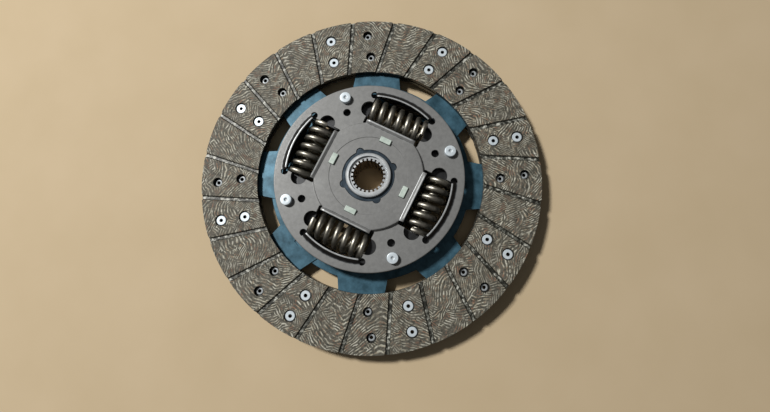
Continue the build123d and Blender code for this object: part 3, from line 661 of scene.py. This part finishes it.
def pressed_plate(outer_r, punches):
    """A plate with a raised dome, windows with lips and punched holes; inner face on z = 0."""
    top = DOME_RISE + PLATE_THICK
    blend = 0.5
    rim = 1.0  # the press rounds the rim over this far
    seat_r, seat_depth = 27.0, 0.3  # a shallow step round the hub on the dome
    plate = lathe([
        (PLATE_BORE_R, DOME_RISE), (DOME_R - DOME_WALL - blend, DOME_RISE),
        (DOME_R - DOME_WALL + DOME_SLOPE, 0), (outer_r - 0.3, 0), (outer_r, 0.3),
        (outer_r, PLATE_THICK - rim), (outer_r - 0.1 * rim, PLATE_THICK - 0.55 * rim),
        (outer_r - 0.35 * rim, PLATE_THICK - 0.2 * rim), (outer_r - rim, PLATE_THICK),
        (DOME_R + DOME_SLOPE + blend, PLATE_THICK), (DOME_R + DOME_SLOPE - 0.1, PLATE_THICK + 0.25),
        (DOME_R + 0.1, top - 0.35), (DOME_R - blend, top), (seat_r + 0.15, top),
        (seat_r - 0.15, top - seat_depth), (PLATE_BORE_R, top - seat_depth),
    ], 240)
    plate = cut(plate, copies(window_tool(), around(WINDOWS, 0)))
    tooling = copies(punch(TOOLING_HOLE_R), around(WINDOWS, ARM_ANGLE, shift(TOOLING_HOLE_CIRCLE, 0, 0)))
    pins = copies(punch(PIN_NECK_R + SHANK_ROOM), around(WINDOWS, PIN_ANGLE, shift(PIN_CIRCLE_R, 0, 0)))
    plate = cut(plate, joined(tooling, pins, *window_end_tools(), *punches))
    round_sharp_edges(plate, PLATE_EDGE_ROUND, 3)
    return joined(plate, lips())


def segment_rivet_places():
    """Two rivets at each segment's neck, seen from the front."""
    return [place for side in (-SEGMENT_RIVET_ANGLE, SEGMENT_RIVET_ANGLE)
            for place in around(SEGMENT_COUNT, NECK_ANGLE + side, shift(SEGMENT_RIVET_CIRCLE, 0, 0))]


def make_plates():
    ear = copies(punch(EAR_WIDTH / 2 + EAR_GAP),
                 around(WINDOWS, ARM_ANGLE, shift(EAR_R - EAR_WIDTH / 2, 0, 0)))
    half_depth, half_width = LUG_DEPTH / 2 + EAR_GAP, LUG_WIDTH / 2 + EAR_GAP
    lug = block((LUG_CIRCLE_R - half_depth, -half_width, -THROUGH / 2),
                (LUG_CIRCLE_R + half_depth, half_width, THROUGH / 2))
    cover = pressed_plate(COVER_R, [ear, copies(lug, around(WINDOWS, 0))])
    piece("cover_plate_pressing", copies(cover, [shift(0, 0, COVER_INNER_Z)]), "disc", [PRESSED, LIP_PAINTED_HIGHLIGHT],
          ("cover_plate",))
    holes = copies(punch(SEGMENT_RIVET_R + SHANK_ROOM), segment_rivet_places())
    drive = pressed_plate(DRIVE_PLATE_R, [holes])
    down = shift(0, 0, DRIVE_INNER_Z) @ Matrix.Rotation(pi, 4, "X")
    piece("drive_plate_pressing", copies(drive, [down]), "disc", [BLUED, LIP_PAINTED_HIGHLIGHT],
          ("drive_plate",))


def make_pins():
    """Shouldered pins with a head at both ends. The dimple in the front head is from riveting; its floor is
    coloured dull grey as painted shade.
    """
    low, high = DRIVE_INNER_Z - PLATE_THICK, COVER_INNER_Z + PLATE_THICK
    top, bottom = high + PIN_HEAD_THICK, low - PIN_HEAD_THICK
    pin = lathe([
        (0, top - 0.9), (0.7, top - 0.9), (1.0, top - 0.75), (1.25, top - 0.12), (1.45, top),
        (PIN_HEAD_R - 0.35, top), (PIN_HEAD_R - 0.08, top - 0.15), (PIN_HEAD_R, top - 0.45),
        (PIN_HEAD_R, high), (PIN_NECK_R, high), (PIN_NECK_R, high - PLATE_THICK),
        (PIN_BODY_R, high - PLATE_THICK), (PIN_BODY_R, low + PLATE_THICK), (PIN_NECK_R, low + PLATE_THICK),
        (PIN_NECK_R, low), (PIN_HEAD_R, low), (PIN_HEAD_R, bottom + 0.5), (PIN_HEAD_R - 0.15, bottom + 0.12),
        (PIN_HEAD_R - 0.5, bottom), (0, bottom),
    ], 40)
    # painted shade: the floor of the dimple takes the dull grey finish
    for face in pin.faces:
        middle = face.calc_center_median()
        face.material_index = 1 if middle.z > high and middle.xy.length < 1.1 else 0
    pins = copies(pin, around(WINDOWS, PIN_ANGLE, shift(PIN_CIRCLE_R, 0, 0)))
    piece("riveted_stop_pins", pins, "disc", [ZINC, GREY_END_AND_DIMPLE_SHADE], ("stop_pins",))


def make_segment_rivets():
    """Round-headed rivets that hold the segments to the drive plate."""
    top, bottom = DRIVE_INNER_Z + SEGMENT_THICK, DRIVE_INNER_Z - PLATE_THICK
    head, shank = SEGMENT_RIVET_HEAD_R, SEGMENT_RIVET_R
    rivet = lathe([
        (0, top + 1.0), (1.2, top + 0.95), (2.2, top + 0.65), (head, top), (shank, top), (shank, bottom),
        (head, bottom), (2.2, bottom - 0.65), (1.2, bottom - 0.95), (0, bottom - 1.0),
    ], 24)
    piece("segment_round_rivets", copies(rivet, segment_rivet_places()), "disc", [BLUED],
          ("segment_rivets",))


# ---------------------------------------------------------------- springs
END_TURNS = 0.5  # closed part at each end of a spring
WINDING_START = 250  # degrees about the spring's axis where its wire begins


def coil(outer_r, wire, turns, sides=16, steps=36):
    """A round wire wound about Z with closed ends ground flat at 0 and SPRING_LENGTH."""
    bm = bmesh.new()
    start = wire * 0.25  # height of the wire's centre at its end, so grinding takes a quarter of it
    upright = shift(outer_r - wire / 2, 0, start) @ Matrix.Rotation(pi / 2, 4, "X")
    bmesh.ops.create_circle(bm, cap_ends=False, radius=wire / 2, segments=sides, matrix=upright)
    last = bm.verts[:] + bm.edges[:]
    end_pitch = wire * 1.1  # closed turns all but touch
    open_turns = turns - 2 * END_TURNS
    open_pitch = (SPRING_LENGTH - 2 * start - 2 * END_TURNS * end_pitch) / open_turns
    for part_turns, pitch in ((END_TURNS, end_pitch), (open_turns, open_pitch), (END_TURNS, end_pitch)):
        done = bmesh.ops.spin(bm, geom=last, cent=(0, 0, 0), axis=(0, 0, 1), angle=2 * pi * part_turns,
                              dvec=(0, 0, pitch / steps), steps=round(steps * part_turns))
        last = [g for g in done["geom_last"] if not isinstance(g, bmesh.types.BMFace)]
    bmesh.ops.holes_fill(bm, edges=[e for e in bm.edges if e.is_boundary])
    bmesh.ops.recalc_face_normals(bm, faces=bm.faces)
    slice_off(bm, (0, 0, 0), (0, 0, -1))
    slice_off(bm, (0, 0, SPRING_LENGTH), (0, 0, 1))
    return bm


def make_springs():
    """Winds a damper spring into every window and an inner spring into every second one, each at
    rest with a mesh of its own. In the disc a spring flattens along its window as the hub turns,
    as far as its outer side has to, because the window ends that hold it lean towards each other."""
    kinds = (("damper_spring", 1, SPRING_R, SPRING_WIRE, SPRING_TURNS),
             ("inner_spring", 2, INNER_SPRING_R, INNER_SPRING_WIRE, INNER_SPRING_TURNS))
    for kind, every, outer_r, wire, turns in kinds:
        for i in range(every - 1, WINDOWS, every):
            window = turn(360 / WINDOWS * i)
            middle = shift(SPRING_CIRCLE_R, 0, FLANGE_MID_Z)
            lying = Matrix.Rotation(-pi / 2, 4, "X") @ turn(WINDING_START) @ shift(0, 0, -SPRING_LENGTH / 2)
            wound = copies(coil(outer_r, wire, turns), [window @ middle @ lying])
            spring = piece(f"{kind}_wire_{i + 1}", wound, "springs", [WIRE],
                           (f"{kind}_{i + 1}",), crease=50)
            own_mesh(spring)


# ---------------------------------------------------------------- hub, bushes and washers
def make_hub_side():
    """The flange's windows are opened a little wider than the springs need at rest, so that a
    spring that leans as the hub turns stays clear of them."""
    inner_room, outer_room = 1.5, 1.6
    low, high = SPRING_CIRCLE_R - SPRING_R - inner_room, SPRING_CIRCLE_R + SPRING_R + outer_room
    half = SPRING_LENGTH / 2
    opened = copies(block((low, -half, 0), (high, half, HUB_LENGTH)), around(WINDOWS, 0))
    hub = cut(from_node("splined_hub"), opened)
    piece("splined_hub_forging", hub, "hub", [HUB_STEEL],
          ("splined_hub",), rounding=0.15, crease=25)
    piece("front_bush_ring", from_node("front_bush"), "disc", [BUSH_STEEL],
          ("front_bush",), rounding=0.25, crease=30)
    piece("rear_bush_moulding", from_node("rear_bush"), "disc", [NYLON],
          ("rear_bush",), rounding=0.25, crease=30)
    piece("lug_washer_moulding", from_node("lug_washer"), "disc", [NYLON],
          ("lug_washer",), rounding=0.5, rounding_steps=3, crease=30)


def dress_nodes():
    """CAD nodes whose shape is right keep it and get their finish."""
    finishes = {"cushion_segment": BLUED, "cone_spring": BLUED, "rear_friction_washer": WASHER}
    for name, obj in nodes.items():
        for start, finish in finishes.items():
            if name.startswith(start):
                obj.data.materials.clear()
                obj.data.materials.append(finish)


# ---------------------------------------------------------------- floor, light and camera
VIEW_TURN = 63.6  # degrees from the part's X axis to the camera's right
CAMERA_AT = (21.76, -63.20, 300.4)  # in the camera's own directions
CAMERA_TILT, CAMERA_ROLL = -0.1503, -0.0372  # radians about the camera's X and Y
FOCAL_PX, IMAGE_WIDTH_PX = 416.7, 770
SENSOR_MM = 36.0
FLOOR_REACH, FLOOR_DROP = 4, 0.0001  # metres, from its middle to its sides and below the part
KEY_AT = (-1.17, 0.78, 1.69)  # metres, in the camera's own directions
KEY_SIZE, KEY_WATTS = 0.3, 49


def make_stage():
    """A plain matt floor, softly clouded."""
    bm = bmesh.new()
    bmesh.ops.create_grid(bm, x_segments=1, y_segments=1, size=FLOOR_REACH)
    floor = loose_object("floor", bm)
    floor.location.z = -FLOOR_DROP
    paper, tree, bsdf, where = new_material("matt_floor_paper", {"Roughness": 0.9})
    clouds = add(tree, "TexNoise", {"Vector": where, "Scale": 1 / 60, "Detail": 3.0})
    colour = add(tree, "ValToRGB", {"Fac": clouds}, stops=[(0.3, "#CAB695"), (0.7, "#CFBB9B")])
    feed(bsdf, {"Base Color": colour})
    floor.data.materials.append(paper)


def make_light():
    """One small square lamp at the upper left, for crisp shadows, and a dim grey world."""
    light = bpy.data.lights.new("key", "AREA")
    light.size, light.energy = KEY_SIZE, KEY_WATTS
    light.color = srgb("#FFFDF9")[:3]
    key = bpy.data.objects.new("key", light)
    bpy.context.scene.collection.objects.link(key)
    key.location = turn(-VIEW_TURN) @ Vector(KEY_AT)
    key.rotation_euler = (-key.location).to_track_quat("-Z", "Y").to_euler()
    world = bpy.data.worlds.new("studio")
    bpy.context.scene.world = world
    world.use_nodes = True
    feed(world.node_tree.nodes["Background"], {"Color": "#D6D4D0", "Strength": 0.12})


def make_camera():
    camera = bpy.data.cameras.new("camera")
    camera.sensor_width = SENSOR_MM
    camera.lens = FOCAL_PX / IMAGE_WIDTH_PX * SENSOR_MM
    camera.clip_start = 0.01
    obj = bpy.data.objects.new("camera", camera)
    bpy.context.scene.collection.objects.link(obj)
    looking = Matrix.Rotation(CAMERA_TILT, 4, "X") @ Matrix.Rotation(CAMERA_ROLL, 4, "Y")
    to_part = turn(-VIEW_TURN)
    place = to_part @ Vector(CAMERA_AT) * MM
    obj.matrix_world = Matrix.Translation(place) @ to_part @ looking.transposed()
    bpy.context.scene.camera = obj


make_facings()
make_plates()
make_pins()
make_segment_rivets()
make_springs()
make_hub_side()
dress_nodes()
make_stage()
make_light()
make_camera()
bpy.context.scene.view_settings.view_transform = "Standard"
